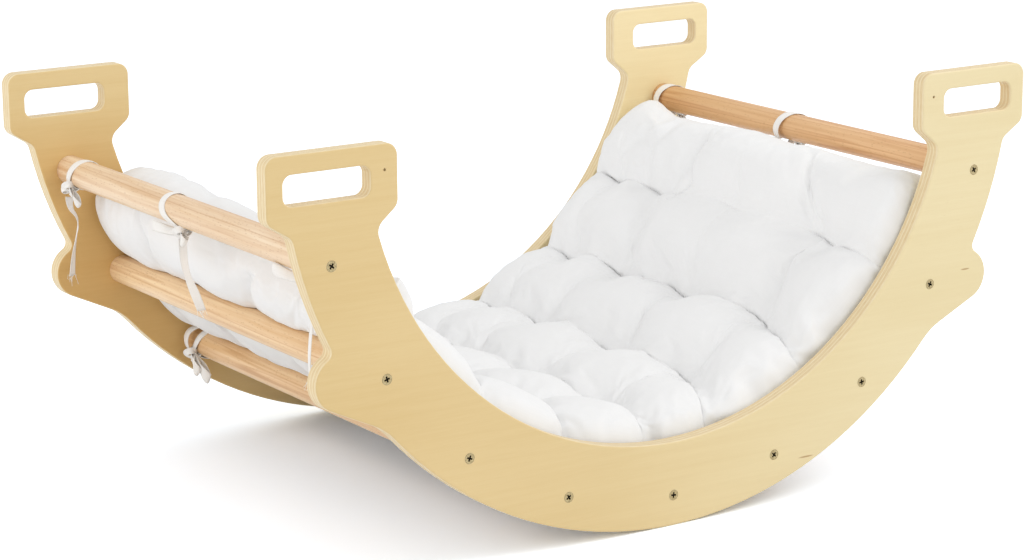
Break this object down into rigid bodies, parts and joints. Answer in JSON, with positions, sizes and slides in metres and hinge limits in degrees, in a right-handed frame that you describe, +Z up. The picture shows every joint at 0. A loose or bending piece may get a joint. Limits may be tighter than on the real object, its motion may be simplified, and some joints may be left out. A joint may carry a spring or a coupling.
{
  "type": "play arch",
  "caption": "Wooden play arch shown as a rocker: round plywood side panels with hand slots, joined by screwed beech rungs, with a tufted cushion tied inside.",
  "frame": {"origin": "on the floor below the middle of the arch, halfway between the side panels", "axes": "+X along the arch towards the right end, +Y towards the back panel, +Z up"},
  "size_m": [0.96, 0.6, 0.45],
  "materials": {
    "plywood": "sanded birch plywood, clear oiled",
    "beech": "smooth turned beech, clear oiled",
    "screw": "yellow passivated, dull",
    "cushion": "white woven cotton, soft filling",
    "tape": "off-white cotton tape"
  },
  "bodies": {
    "root": {"front_side_panel": "plywood", "back_side_panel": "plywood", "rung_1": "beech", "rung_2": "beech", "rung_3": "beech", "rung_4": "beech", "rung_5": "beech", "rung_6": "beech", "rung_7": "beech", "rung_8": "beech", "rung_9": "beech", "front_screws": "screw", "back_screws": "screw", "cushion": "cushion", "tie_rung_1_back": "tape", "tie_rung_1_middle": "tape", "tie_rung_1_front": "tape", "tie_rung_9_back": "tape", "tie_rung_9_middle": "tape", "tie_rung_9_front": "tape", "tie_rung_3_back": "tape", "tie_rung_3_front": "tape", "tie_rung_7_back": "tape", "tie_rung_7_front": "tape", "tail_rung_1_back": "tape", "tail_rung_1_middle": "tape", "tail_rung_1_front": "tape", "tail_rung_9_back": "tape", "tail_rung_9_middle": "tape", "tail_rung_9_front": "tape"}
  },
  "joints": []
}
